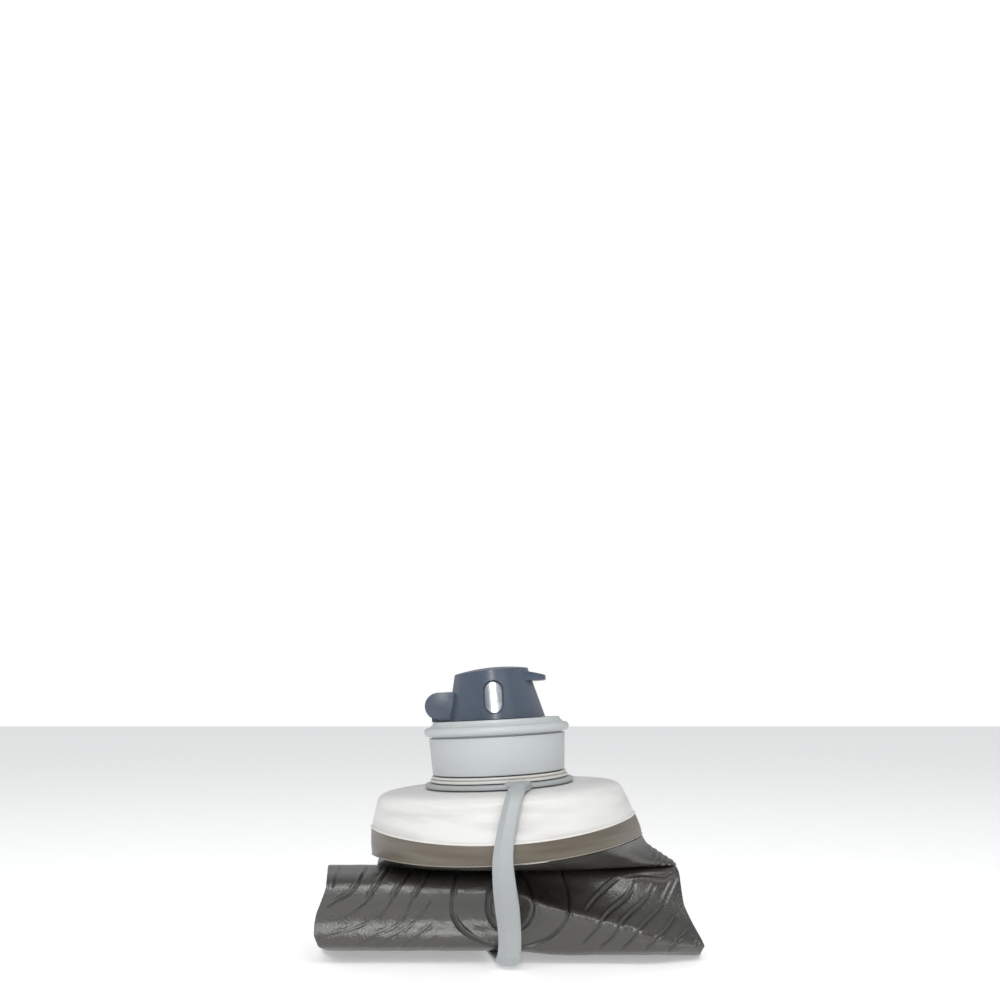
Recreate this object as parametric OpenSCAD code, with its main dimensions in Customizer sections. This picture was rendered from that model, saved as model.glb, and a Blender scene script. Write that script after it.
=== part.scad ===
// Folding water bottle, packed. Its film body is rolled up under the shoulder, and a
// soft bail strap holds the roll. A screw cap with a flip lid closes the neck.
// Millimetres, +Z up, -Y is the front. The origin is on the ground under the neck, at
// the middle of the strap's underside. "s" is a height along the leaning neck axis,
// counted from the middle of the bail ring. "h" is a height above the cap's top face.

/* [Neck] */
// Lean of the neck to the left, in degrees
neck_lean = 3; // [2:0.5:4]
// Height of the bail ring's middle above the ground
neck_z = 60.4; // [60.4:0.1:61.4]
// Radius of the drinking neck's bore
neck_bore_r = 17.5; // [15:0.5:17.5]
// Outside radius of the neck under its thread
neck_r = 19.5; // [19:0.1:19.5]
// Radius at the thread's crest
thread_r = 20.9; // [20.5:0.1:20.9]
// Rise of the thread in one turn
thread_pitch = 4; // [4:0.1:4.5]
// Turns of thread on the neck
thread_turns = 1.5; // [1:0.25:1.75]
// Height s of the neck's lip
lip_s = 18.7; // [18.5:0.1:18.8]

/* [Cap] */
// Radius of the skirt at its foot
skirt_foot_r = 23.5; // [23.3:0.1:24]
// Radius of the skirt under the bead
skirt_top_r = 24.2; // [24:0.1:24.6]
// Radius of the bead around the cap's top
bead_r = 25.8; // [25.4:0.1:26]
// Height s of the skirt's foot
skirt_foot_s = 3.6; // [3.5:0.1:3.8]
// Height s of the cap's top face
cap_top_s = 22.2; // [22.2:0.1:22.6]
// Radius inside the skirt, at the root of its thread
cap_bore_r = 21.3; // [21.2:0.1:21.5]
// Radius at the crest of the cap's inner thread
cap_thread_r = 20; // [19.9:0.1:20.2]
// Thickness of the cap's top plate
plate_t = 2; // [2:0.1:2.2]

/* [Flip lid] */
// Radius of the lid's hood at its foot
hood_foot_r = 17.4; // [17:0.1:17.6]
// Radius of the hood at its shoulder
hood_top_r = 13.1; // [12.8:0.1:13.4]
// Height h of the hood's shoulder
hood_h = 17.1; // [16.8:0.1:17.4]
// Height h of the dome's top
dome_h = 18.5; // [18.3:0.1:19]
// Wall of the hood
hood_t = 1.8; // [1.6:0.1:2]
// Lean of the hood's cone to the left, in degrees
hood_lean = 2.9; // [2:0.1:3]
// Distance of the hinge pin from the neck axis
pin_x = 20; // [19.9:0.1:20.2]
// Height h of the hinge pin
pin_h = 5.6; // [5.5:0.1:5.8]
// Radius of the hinge pin
pin_r = 1.25; // [1:0.05:1.25]
// Length of the hinge pin, whose ends are hidden in the ear
pin_len = 9; // [8:0.5:9.5]
// Radius of the hinge ear
ear_r = 4.8; // [4.6:0.1:4.8]
// Width of the hinge ear
ear_w = 11; // [10:0.5:12]

/* [Spout] */
// Outside radius of the spout
spout_r = 7.5; // [7:0.1:7.8]
// Radius of the spout's bore
spout_bore_r = 4.6; // [4.5:0.1:4.8]
// Height h of the spout's mouth
spout_h = 10; // [9.5:0.1:10]

/* [Bail] */
// Radius of the bail ring
ring_r = 26.4; // [26:0.1:26.6]
// Thickness of the bail ring
ring_t = 1.7; // [1.5:0.1:1.7]
// Thickness of the strap
strap_t = 2.6; // [2.2:0.1:2.6]

/* [Film] */
// Wall of the frosted shoulder
shoulder_t = 1; // [0.8:0.1:1.2]
// Wall of the film body
film_t = 0.7; // [0.5:0.1:0.8]
// Height of the roll's top
roll_top = 30; // [29:0.5:30]

/* [Hidden] */

gap = 0.3;               // space between pieces that move against each other
fit = 0.05;              // running fit and face-to-face joints
big = 200;
neck_x = -0.25;          // the neck axis meets the bail ring here
mesh_n = 48;             // corners around a lofted ring
steps_per_turn = 36;
round_fn = 96;
film_shift = 1.6;        // the film leaves the neck axis this far to the right

// Outline of a flattened tube: half width a, half depth b. q = 0.5 gives an ellipse
// and q = 1 a lens with pointed sides. It is shifted by x0, slopes along X, and its
// two sides rise above its middle.
function ring(z, x0, a, b, q, slope, rise) = [
  for (i = [0 : mesh_n - 1])
    let (t = 360 * i / mesh_n, u = a * cos(t))
      [x0 + u, sign(sin(t)) * b * pow(abs(sin(t)), 2 * q), z + slope * u + rise * pow(u / a, 2)]
];

// Outline with flat sides between two corners, for the rolled film
function slab(z, x_low, x_high, y_low, y_high) = [
  for (i = [0 : mesh_n - 1])
    let (t = 360 * i / mesh_n, flat = 0.4)
      [
        (x_low + x_high) / 2 + (x_high - x_low) / 2 * sign(cos(t)) * pow(abs(cos(t)), flat),
        (y_low + y_high) / 2 + (y_high - y_low) / 2 * sign(sin(t)) * pow(abs(sin(t)), flat),
        z
      ]
];

function middle(points) = [for (k = [0 : 2]) [for (p = points) p[k]] * [for (p = points) 1] / len(points)];

// Closed solid through rings that run from its bottom to its top
module loft(rings) {
  n = len(rings[0]);
  m = len(rings);
  points = concat([for (r = rings) each r], [middle(rings[0]), middle(rings[m - 1])]);
  walls = [
    for (j = [0 : m - 2], i = [0 : n - 1])
      let (k = (i + 1) % n)
        each [
          [j * n + i, (j + 1) * n + i, (j + 1) * n + k],
          [j * n + i, (j + 1) * n + k, j * n + k]
        ]
  ];
  ends = [
    for (i = [0 : n - 1])
      let (k = (i + 1) % n)
        each [[m * n, i, k], [m * n + 1, (m - 1) * n + k, (m - 1) * n + i]]
  ];
  polyhedron(points = points, faces = concat(walls, ends));
}

// Screw ridge, right-handed, from radius r_in to r_out, around the neck axis
module screw_ridge(r_in, r_out, turns, start_s, wide_r, wide, narrow) {
  count = round(turns * steps_per_turn);
  run_in = 4;            // steps over which the ridge's ends fade
  points = [
    for (i = [0 : count])
      let (
        t = 360 * i / steps_per_turn,
        full = min(1, (min(i, count - i) + 0.6) / run_in),
        s = start_s + thread_pitch * t / 360,
        root = wide_r == r_in ? r_in : r_out,
        crest = root + (wide_r == r_in ? r_out - r_in : r_in - r_out) * full
      )
        each [
          [root * cos(t), root * sin(t), s - wide / 2 * full],
          [crest * cos(t), crest * sin(t), s - narrow / 2 * full],
          [crest * cos(t), crest * sin(t), s + narrow / 2 * full],
          [root * cos(t), root * sin(t), s + wide / 2 * full]
        ]
  ];
  turn = wide_r == r_in ? [0, 1, 2, 3] : [3, 2, 1, 0];
  walls = [
    for (i = [0 : count - 1], k = [0 : 3])
      let (a = 4 * i + turn[k], b = 4 * i + turn[(k + 1) % 4])
        each [[a, b, b + 4], [a, b + 4, a + 4]]
  ];
  first = [turn[3], turn[2], turn[1], turn[0]];
  last = [for (k = turn) 4 * count + k];
  polyhedron(points = points, faces = concat(walls, [first, last]));
}

// Everything on the neck leans with it
module on_neck() translate([neck_x, 0, neck_z]) rotate([0, -neck_lean, 0]) children();

// Heights above the cap's top face
module on_cap() on_neck() translate([0, 0, cap_top_s]) children();

module disc(r, low, high) translate([0, 0, low]) cylinder(r = r, h = high - low, $fn = round_fn);

module along_pin(r, width)
  translate([-pin_x, width / 2, pin_h]) rotate([90, 0, 0]) cylinder(r = r, h = width, $fn = round_fn);

function arc(cx, cy, r, from, to, n) = [
  for (i = [0 : n]) let (t = from + (to - from) * i / n) [cx + r * cos(t), cy + r * sin(t)]
];

// ---------- Cap ----------

bead_low = 17.1;         // height s of the shadow groove over the skirt
bead_rad = 1.6;
step_r = 23.1;           // radius of the step over the bead
gasket_low = lip_s + fit;
plate_low = cap_top_s - plate_t;
spout_hole_r = 8;
seal_groove = [9.6, 11.4, 1];   // inner and outer radius, depth

module cap_shell() color("silver") on_neck() {
  difference() {
    rotate_extrude($fn = round_fn) polygon(concat(
      [[0, plate_low], [cap_bore_r, plate_low], [cap_bore_r, skirt_foot_s], [skirt_foot_r, skirt_foot_s]],
      [[skirt_top_r, bead_low - 0.6], [skirt_top_r - 0.5, bead_low]],
      arc(bead_r - bead_rad, bead_low + bead_rad, bead_rad, -90, 90, 8),
      [[step_r + 0.4, bead_low + 2 * bead_rad + 0.2], [step_r, cap_top_s - 0.4], [step_r - 0.4, cap_top_s]],
      [[0, cap_top_s]]
    ));
    disc(spout_hole_r, plate_low - 1, cap_top_s + 1);
    difference() {
      disc(seal_groove[1], cap_top_s - seal_groove[2], cap_top_s + 1);
      disc(seal_groove[0], cap_top_s - seal_groove[2] - 1, cap_top_s + 2);
    }
  }
  screw_ridge(cap_thread_r, cap_bore_r + 0.2, 1.25, 6 + thread_pitch / 2, cap_bore_r + 0.2, 1.8, 0.9);
}

module cap_gasket() color("white") on_neck() difference() {
  disc(cap_bore_r - 0.2, gasket_low, plate_low - fit);
  disc(neck_bore_r - 1, gasket_low - 1, plate_low + 1);
}

// ---------- Spout ----------

flange_r = 13;
flange_t = 1.2;
lug_r = 3.3;
lug_w = 4;
foot = [-22.8, -18.7];   // the lug's foot, seen under the ear
barb_h = 1.2;            // the snap barb under the cap's plate

module spout_base() color("darkslategray") on_cap() {
  difference() {
    union() {
      disc(flange_r, fit, flange_t);
      disc(spout_r, flange_t - 0.5, spout_h);
      disc(spout_hole_r - 0.1, -plate_t - barb_h, flange_t);
      disc(spout_hole_r + 0.6, -plate_t - barb_h, -plate_t - fit);
      translate([foot[0], -lug_w / 2, fit]) cube([pin_x - 5, lug_w, 0.9]);
      translate([foot[0], -lug_w / 2, fit]) cube([foot[1] - foot[0], lug_w, pin_h - fit]);
      along_pin(lug_r, lug_w);
    }
    disc(spout_bore_r, -plate_t - 2, spout_h + 1);
    along_pin(pin_r + fit, lug_w + 2);
  }
}

module spout_seal() color("dimgray") on_cap()
  rotate_extrude($fn = round_fn)
    translate([(seal_groove[0] + seal_groove[1]) / 2, -0.5]) circle(r = 0.48, $fn = 24);

// ---------- Flip lid ----------

lid_gap = 0.2;           // the closed lid stands this far over the cap
slot_w = lug_w + 0.4;
plug_r = 4.3;
plug_head_r = 5;
lip_reach = 18.4;
lip_h = 13;
lip_t = 1.7;
lip_root_h = 16.6;
badge_w = 5.6;
badge_len = 10.4;
badge_h = 7.6;

// The hood's cone and dome, made smaller all round by "inset"
module hood(inset) rotate([0, -hood_lean, 0]) {
  foot_r = hood_foot_r - inset;
  top_r = hood_top_r - inset;
  rise = dome_h - hood_h;
  dome_r = (hood_top_r * hood_top_r + rise * rise) / (2 * rise) - inset;
  spread = asin(top_r / dome_r);
  slope = (foot_r - top_r) / hood_h;
  rotate_extrude($fn = round_fn) polygon(concat(
    [[0, -2], [foot_r + 2 * slope, -2]],
    arc(0, dome_h - inset - dome_r, dome_r, 90 - spread, 90, 8)
  ));
}

module pill(w, len) {
  for (k = [-1, 1]) translate([0, k * (len - w) / 2]) circle(r = w / 2, $fn = 48);
  square([w, len - w], center = true);
}

// A prism through the front of the hood, where the badge lies
module badge_prism(grow)
  translate([-0.4, 0, badge_h]) rotate([90, 0, 0]) linear_extrude(hood_foot_r + 2) pill(badge_w + grow, badge_len + grow);

// Lip that a thumb lifts: a wedge, thick at the hood and thin at its tip
module lip() intersection() {
  translate([0, 0, lip_h]) linear_extrude(lip_root_h - lip_h)
    polygon([[6, -8.5], [lip_reach - 2, -5.6], [lip_reach, -3.6], [lip_reach, 3.6], [lip_reach - 2, 5.6], [6, 8.5]]);
  rotate([90, 0, 0]) translate([0, 0, -10]) linear_extrude(20)
    polygon([[5, lip_h], [lip_reach, lip_h], [lip_reach, lip_h + lip_t], [9, lip_root_h], [5, lip_root_h]]);
}

module flip_lid() color("slategray") on_cap() difference() {
  union() {
    difference() {
      union() {
        hood(0);
        lip();
        along_pin(ear_r, ear_w);
        translate([-pin_x, -ear_w / 2, lid_gap]) cube([7, ear_w, ear_r + pin_h - lid_gap]);
      }
      hood(hood_t);
    }
    intersection() {
      disc(plug_head_r + 1.8, 11, dome_h);
      hood(hood_t / 2);
    }
  }
  disc(plug_head_r + fit, 10, dome_h - hood_t - 1);
  translate([-big / 2, -big / 2, -10]) cube([big, big, 10 + lid_gap]);
  translate([-pin_x - 8, -slot_w / 2, -1]) cube([8 + lug_r + 0.2, slot_w, 20]);
  translate([-pin_x - 8, -slot_w / 2, -1]) cube([20, slot_w, 2.4]);
  along_pin(pin_r, pin_len);
  difference() {
    badge_prism(2 * fit);
    hood(0.7);
  }
}

module lid_plug() color("white") on_cap() {
  disc(plug_head_r, spout_h + gap, dome_h - hood_t - 1 - fit);
  translate([0, 0, 7.2]) cylinder(r1 = plug_r - 0.5, r2 = plug_r, h = spout_h + gap - 7.2, $fn = round_fn);
}

module hinge_pin() color("gray") on_cap() along_pin(pin_r, pin_len);

module lid_badge() color("whitesmoke") on_cap() difference() {
  intersection() {
    badge_prism(0);
    hood(0.1);
  }
  hood(0.65);
}

// ---------- Neck ----------

neck_foot_s = -6;
weld_flange = [30, -3.6, -2.45];     // radius, bottom and top
upper_flange = [23.6, 2.3, 3.2];
lower_flange = [24.5, 1.15, 2.1];

module neck_finish() color("gainsboro") on_neck() {
  difference() {
    union() {
      disc(neck_r, neck_foot_s, lip_s);
      for (f = [weld_flange, upper_flange, lower_flange]) disc(f[0], f[1], f[2]);
    }
    disc(neck_bore_r, neck_foot_s - 1, lip_s + 1);
  }
  screw_ridge(neck_r - 0.2, thread_r, thread_turns, 6, neck_r - 0.2, 2, 1);
}

// ---------- Shoulder and weld band ----------

weld_s = -16;            // upper weld at the front, and how far its sides rise
weld_rise = 2.4;
band_foot_s = -22.5;     // lower weld
band_slope = 0.023;

// The shoulder's outside from its weld up to its flat top, made smaller by "inset"
function shoulder_rings(inset, low) = [
  ring(weld_s - low, 0.6, 46.9 - inset, 42 - inset, 0.7, 0, weld_rise),
  ring(-11, 0.4, 45.7 - inset, 41 - inset, 0.62, 0, 1),
  ring(-7, 0.2, 44.5 - inset, 40.2 - inset, 0.56, 0, 0.3),
  ring(-4, 0, 43.6 - inset, 39.4 - inset, 0.53, 0, 0),
  ring(-2.2, 0, 42.4 - inset, 38.2 - inset, 0.51, 0, 0),
  ring(-1.4 - inset, 0, 40.4 - inset, 36.2 - inset, 0.5, 0, 0),
  ring(-1.2 - inset, 0, 30, 29, 0.5, 0, 0)
];

function band_rings(inset, low, high) = [
  ring(band_foot_s - low, film_shift, 48.4 - inset, 42.6 - inset, 0.78, band_slope, 0),
  ring(-19, 1.1, 48 - inset, 42.5 - inset, 0.74, 0.01, 1.2),
  ring(weld_s + high - fit, 0.6, 47.2 - inset, 42.2 - inset, 0.7, 0, weld_rise)
];

module shoulder() color("whitesmoke") on_neck() difference() {
  loft(shoulder_rings(0, 0));
  loft(shoulder_rings(shoulder_t, 4));
  disc(neck_r + fit, -10, 2);
}

module weld_band() color("rosybrown") on_neck() difference() {
  loft(band_rings(0, 0, 0));
  loft(band_rings(1.2, 2, 2));
}

// ---------- Film body ----------

// The loose film between the weld band and the roll, in the ground's frame
function web_rings(inset, more) = [
  ring(roll_top + 0.5 - more, 8, 55.4 - inset, 7 - inset, 0.5, 0, 0),
  ring(31.2, 7.4, 54.6 - inset, 15 - inset, 0.6, 0.01, 0),
  ring(33.5, 5, 52 - inset, 25 - inset, 0.7, 0.03, 0),
  ring(35.6, 3.2, 49.6 - inset, 35 - inset, 0.76, 0.05, 0),
  ring(37.3 + more, 2.4, 48.6 - inset, 42 - inset, 0.78, 0.075, 0)
];

module web_half(side) difference() {
  loft(web_rings(0, 0));
  loft(web_rings(film_t, 1));
  translate([-big / 2, side > 0 ? -big + fit : -fit, -big / 2]) cube(big);
}

module film_front() color("dimgray") web_half(-1);

module film_back() color("dimgray") web_half(1);

// The rest of the film, wound up: it droops to the ground at both ends, and has a
// flat fold at its core and a shallow channel where the strap runs under it
core = [120, 4.8, 13];
core_y = -1.5;
core_z = 16;

module film_roll() color("dimgray") difference() {
  loft([
    slab(0, -60, 69, -9, 7),
    slab(2, -64.5, 73, -14, 12),
    slab(7, -66.7, 70.5, -20.5, 18),
    slab(14, -65.6, 66.6, -23.6, 20.4),
    slab(20.5, -64.2, 65, -22.5, 19.5),
    slab(27, -62.4, 64.7, -17, 14),
    slab(roll_top, -61.5, 64, -8, 6)
  ]);
  translate([-14, -big / 2, -1]) cube([26, big, 1 + strap_t + 0.5]);
  translate([-70, core_y - core[1] / 2, core_z - core[2] / 2]) cube([core[0] + 10, core[1], core[2]]);
}

module base_panel() color("darkgray")
  translate([-60, core_y - core[1] / 2 + gap, core_z - core[2] / 2 + gap])
    cube([core[0] - 1, core[1] - 2 * gap, core[2] - 2 * gap]);

// ---------- Bail ----------

tab_in = 25.15;          // the tabs stop here, clear of the neck's flanges

// Tab that stands on the ring and meets the strap's end face
module root_tab(end, next) difference() {
  translate([end[0], end[1], end[2]])
    rotate([0, 0, atan2(next[0] - end[0], end[1] - next[1])])
      translate([-end[3] / 2, 2 * fit, -strap_t / 2]) cube([end[3], 2.8, strap_t]);
  on_neck() disc(tab_in, -5, 5);
}

module bail_ring() color("silver") {
  on_neck() rotate_extrude($fn = round_fn) {
    difference() {
      translate([neck_r + gap, -ring_t / 2 - 0.05]) square([ring_r - neck_r - gap, ring_t]);
      translate([ring_r - ring_t / 2, -big / 2]) square([big, big]);
    }
    translate([ring_r - ring_t / 2, -0.05]) circle(r = ring_t / 2, $fn = 24);
  }
  last = len(strap_route) - 1;
  root_tab(strap_route[0], strap_route[1]);
  root_tab(strap_route[last], strap_route[last - 1]);
}

// Middle of the strap from its front root, under the roll, to its back root, with its
// width as the last number
strap_route = [
  [6.9, -26.8, 61.15, 6.2], [6.2, -31, 61.15, 5.6], [5.3, -36, 61, 5.4], [4.4, -40.4, 58.8, 5.4],
  [3, -43.2, 53.5, 5.5], [1.5, -44.9, 46, 5.8], [0.9, -44.6, 39.6, 6.4], [1.3, -41, 32, 7.2],
  [2.2, -34.6, 23.6, 7.8], [3, -29, 15.3, 7.6], [3.2, -26.6, 9, 7.5], [2.9, -24.8, 4.4, 7.7],
  [2.2, -20.8, 1.9, 7.7], [1.2, -15, 1.3, 7.7], [-2, -2, 1.3, 7.7], [-5.4, 11, 1.3, 7.7],
  [-6.8, 17.6, 1.9, 7.7], [-7, 21.8, 4.4, 7.7], [-7, 25.4, 10, 7.4], [-6.4, 29.8, 18, 7.1],
  [-5.4, 36.6, 27, 6.8], [-4.6, 42.5, 34.6, 6.5], [-4.2, 44.8, 41.6, 6.2], [-4.6, 44.6, 48.4, 5.8],
  [-5.5, 42.4, 55, 5.5], [-6.4, 38.8, 59.8, 5.4], [-7.7, 31, 60.5, 5.6], [-8.3, 26.65, 60.35, 6.2]
];
strap_steps = 2;

// Point between p1 and p2 on a smooth curve through p0 to p3
function between(p0, p1, p2, p3, t) =
  0.5 * (2 * p1 + (p2 - p0) * t + (2 * p0 - 5 * p1 + 4 * p2 - p3) * t * t + (3 * p1 - p0 - 3 * p2 + p3) * t * t * t);

function smooth(route) = [
  for (i = [0 : len(route) - 2], k = [0 : strap_steps - 1])
    between(route[max(i - 1, 0)], route[i], route[i + 1], route[min(i + 2, len(route) - 1)], k / strap_steps),
  route[len(route) - 1]
];

// A place on the route, with the strap's underside no lower than the ground
function place(p) = [p[0], p[1], max(p[2], strap_t / 2)];
function unit(v) = v / norm(v);

module bail_strap() color("silver") {
  line = smooth(strap_route);
  last = len(line) - 1;
  loft([
    for (i = [0 : last])
      let (
        here = place(line[i]),
        along = unit(place(line[min(i + 1, last)]) - place(line[max(i - 1, 0)])),
        side = unit([1, 0, 0] - along[0] * along),
        face = cross(along, side),
        w = line[i][3] / 2,
        t = strap_t / 2
      )
        [
          here - w * side - t * face,
          here - w * side + 0.3 * t * face,
          here - 0.7 * w * side + t * face,
          here + 0.8 * w * side + t * face,
          here + w * side + 0.6 * t * face,
          here + w * side - t * face
        ]
  ]);
}

cap_shell();
cap_gasket();
spout_base();
spout_seal();
flip_lid();
lid_plug();
hinge_pin();
lid_badge();
neck_finish();
shoulder();
weld_band();
film_front();
film_back();
film_roll();
base_panel();
bail_ring();
bail_strap();
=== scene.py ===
import math
import bmesh
import bpy
import numpy as np
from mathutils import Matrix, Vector


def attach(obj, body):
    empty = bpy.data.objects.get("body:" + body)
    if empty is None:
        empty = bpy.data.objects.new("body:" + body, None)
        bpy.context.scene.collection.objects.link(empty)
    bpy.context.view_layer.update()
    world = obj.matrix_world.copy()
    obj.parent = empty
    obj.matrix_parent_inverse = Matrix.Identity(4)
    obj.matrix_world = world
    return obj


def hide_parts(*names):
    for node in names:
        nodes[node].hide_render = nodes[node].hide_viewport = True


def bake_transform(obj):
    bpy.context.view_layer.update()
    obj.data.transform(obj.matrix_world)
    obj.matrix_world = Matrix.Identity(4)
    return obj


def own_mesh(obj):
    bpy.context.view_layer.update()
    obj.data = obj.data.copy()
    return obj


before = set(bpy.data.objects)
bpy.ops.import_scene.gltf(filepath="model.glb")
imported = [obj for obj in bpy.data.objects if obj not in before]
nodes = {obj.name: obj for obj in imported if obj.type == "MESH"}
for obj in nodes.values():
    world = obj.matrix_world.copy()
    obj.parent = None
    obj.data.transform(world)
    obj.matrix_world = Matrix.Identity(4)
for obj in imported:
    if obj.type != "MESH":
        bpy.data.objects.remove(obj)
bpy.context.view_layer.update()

MM = 0.001

# ---------------------------------------------------------------- neck frame
LEAN = math.radians(3)
RING_Z = 60.4
NECK_X = -0.25
CAP_TOP = 22.2
HOOD_LEAN = math.radians(2.9)
PIN = (-20.0, 5.6)
THREAD_PITCH = 4.0
RING_POINTS = 240


def on_neck(p):
    """Points in the leaning neck frame, as points in the row frame, in mm."""
    p = np.asarray(p, float)
    c, s = math.cos(LEAN), math.sin(LEAN)
    x, y, z = p[..., 0], p[..., 1], p[..., 2]
    return np.stack([x * c - z * s + NECK_X, y, x * s + z * c + RING_Z], -1)


def on_cap(p):
    """Points in the frame of the cap's top, as points in the row frame, in mm."""
    return on_neck(np.asarray(p, float) + [0, 0, CAP_TOP])


def smoothstep(a, b, x):
    t = np.clip((np.asarray(x, float) - a) / (b - a), 0, 1)
    return t * t * (3 - 2 * t)


def catmull(points, t):
    """Smooth curve through the points (first axis), at places t from 0 to len-1."""
    p = np.asarray(points, float)
    i = np.clip(np.floor(t).astype(int), 0, len(p) - 2)
    f = (t - i).reshape((-1,) + (1,) * (p.ndim - 1))
    a, b = p[np.maximum(i - 1, 0)], p[i]
    c, d = p[i + 1], p[np.minimum(i + 2, len(p) - 1)]
    square = (2 * a - 5 * b + 4 * c - d) * f ** 2
    cube = (3 * b - a - 3 * c + d) * f ** 3
    return 0.5 * (2 * b + (c - a) * f + square + cube)


# ---------------------------------------------------------------- mesh helpers
def new_object(name, verts, faces, angle=40):
    mesh = bpy.data.meshes.new(name)
    mesh.from_pydata((np.asarray(verts) * MM).tolist(), [], faces)
    mesh.validate()
    mesh.update()
    obj = bpy.data.objects.new(name, mesh)
    bpy.context.scene.collection.objects.link(obj)
    mesh.polygons.foreach_set("use_smooth", np.ones(len(mesh.polygons), bool))
    if angle < 180:
        mesh.set_sharp_from_angle(angle=math.radians(angle))
    return obj


def grid_faces(m, n, wrap_m=False, wrap_n=True, base=0):
    rows = np.arange(m if wrap_m else m - 1)
    cols = np.arange(n if wrap_n else n - 1)
    i, j = np.meshgrid(rows, cols, indexing="ij")
    a = base + i * n + j
    b = base + i * n + (j + 1) % n
    c = base + ((i + 1) % m) * n + (j + 1) % n
    d = base + ((i + 1) % m) * n + j
    return np.stack([a, b, c, d], -1).reshape(-1, 4).tolist()


class Piece:
    """Vertices and faces collected for one object."""

    def __init__(self):
        self.v, self.f, self.n = [], [], 0

    def grid(self, p, wrap_m=False, wrap_n=True, cap_low=False, cap_high=False):
        m, n = p.shape[:2]
        f = grid_faces(m, n, wrap_m, wrap_n, self.n)
        if cap_low:
            f.append([self.n + j for j in range(n)][::-1])
        if cap_high:
            f.append([self.n + (m - 1) * n + j for j in range(n)])
        self.v.append(p.reshape(-1, 3))
        self.f += f
        self.n += m * n
        return self

    def make(self, name, angle=40):
        return new_object(name, np.concatenate(self.v), self.f, angle)


def fillet(points, radii, steps=5):
    """Closed profile with each corner rounded by its radius."""
    out, n = [], len(points)
    for i in range(n):
        p = np.array(points[i], float)
        a, b = np.array(points[i - 1], float), np.array(points[(i + 1) % n], float)
        r = radii[i] if isinstance(radii, (list, tuple)) else radii
        la, lb = np.linalg.norm(a - p), np.linalg.norm(b - p)
        if r <= 0 or la < 1e-6 or lb < 1e-6:
            out.append(p)
            continue
        u, w = (a - p) / la, (b - p) / lb
        half = math.acos(np.clip(u @ w, -1, 1)) / 2
        if half > math.radians(87):
            out.append(p)
            continue
        t = min(r / math.tan(half), 0.45 * la, 0.45 * lb)
        for k in range(steps + 1):
            f = k / steps
            out.append((1 - f) ** 2 * (p + u * t) + 2 * f * (1 - f) * p + f ** 2 * (p + w * t))
    return np.array(out)


def turned(profile, n, frame_of=on_neck):
    """Grid of a closed (r, s) profile turned about the neck axis."""
    t = np.linspace(0, 2 * math.pi, n, endpoint=False)
    r, s = profile[:, 0][:, None], profile[:, 1][:, None]
    return frame_of(np.stack([r * np.cos(t), r * np.sin(t), s + 0 * t], -1))


def arc(cr, cs, rad, a0, a1, n=10):
    a = np.radians(np.linspace(a0, a1, n))
    return [(cr + rad * math.cos(k), cs + rad * math.sin(k)) for k in a]


def helix_ridge(r_base, r_tip, turns, low, width_base, width_tip):
    """Grid of a thread ridge that fades in and out at its ends."""
    n = int(turns * 72)
    t = np.linspace(0, turns * 2 * math.pi, n)
    fade = np.minimum(1, np.minimum(t, t[-1] - t) / 0.6)[:, None]
    base, tip = width_base / 2, width_tip / 2
    prof = np.array([(0, -base), (1, -tip), (1, tip), (0, base)])
    r = r_base + (r_tip - r_base) * prof[:, 0] * fade
    s = low + (t / (2 * math.pi) * THREAD_PITCH)[:, None] + prof[:, 1] * (0.3 + 0.7 * fade)
    a = t[:, None]
    return on_neck(np.stack([r * np.cos(a), r * np.sin(a), s], -1))


# ---------------------------------------------------------------- materials
def linear(c):
    return (c / 255) / 12.92 if c <= 10.3 else ((c / 255 + 0.055) / 1.055) ** 2.4


def srgb(r, g, b):
    """Linear colour with alpha from 8-bit sRGB values."""
    return tuple(linear(c) for c in (r, g, b)) + (1,)


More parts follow.
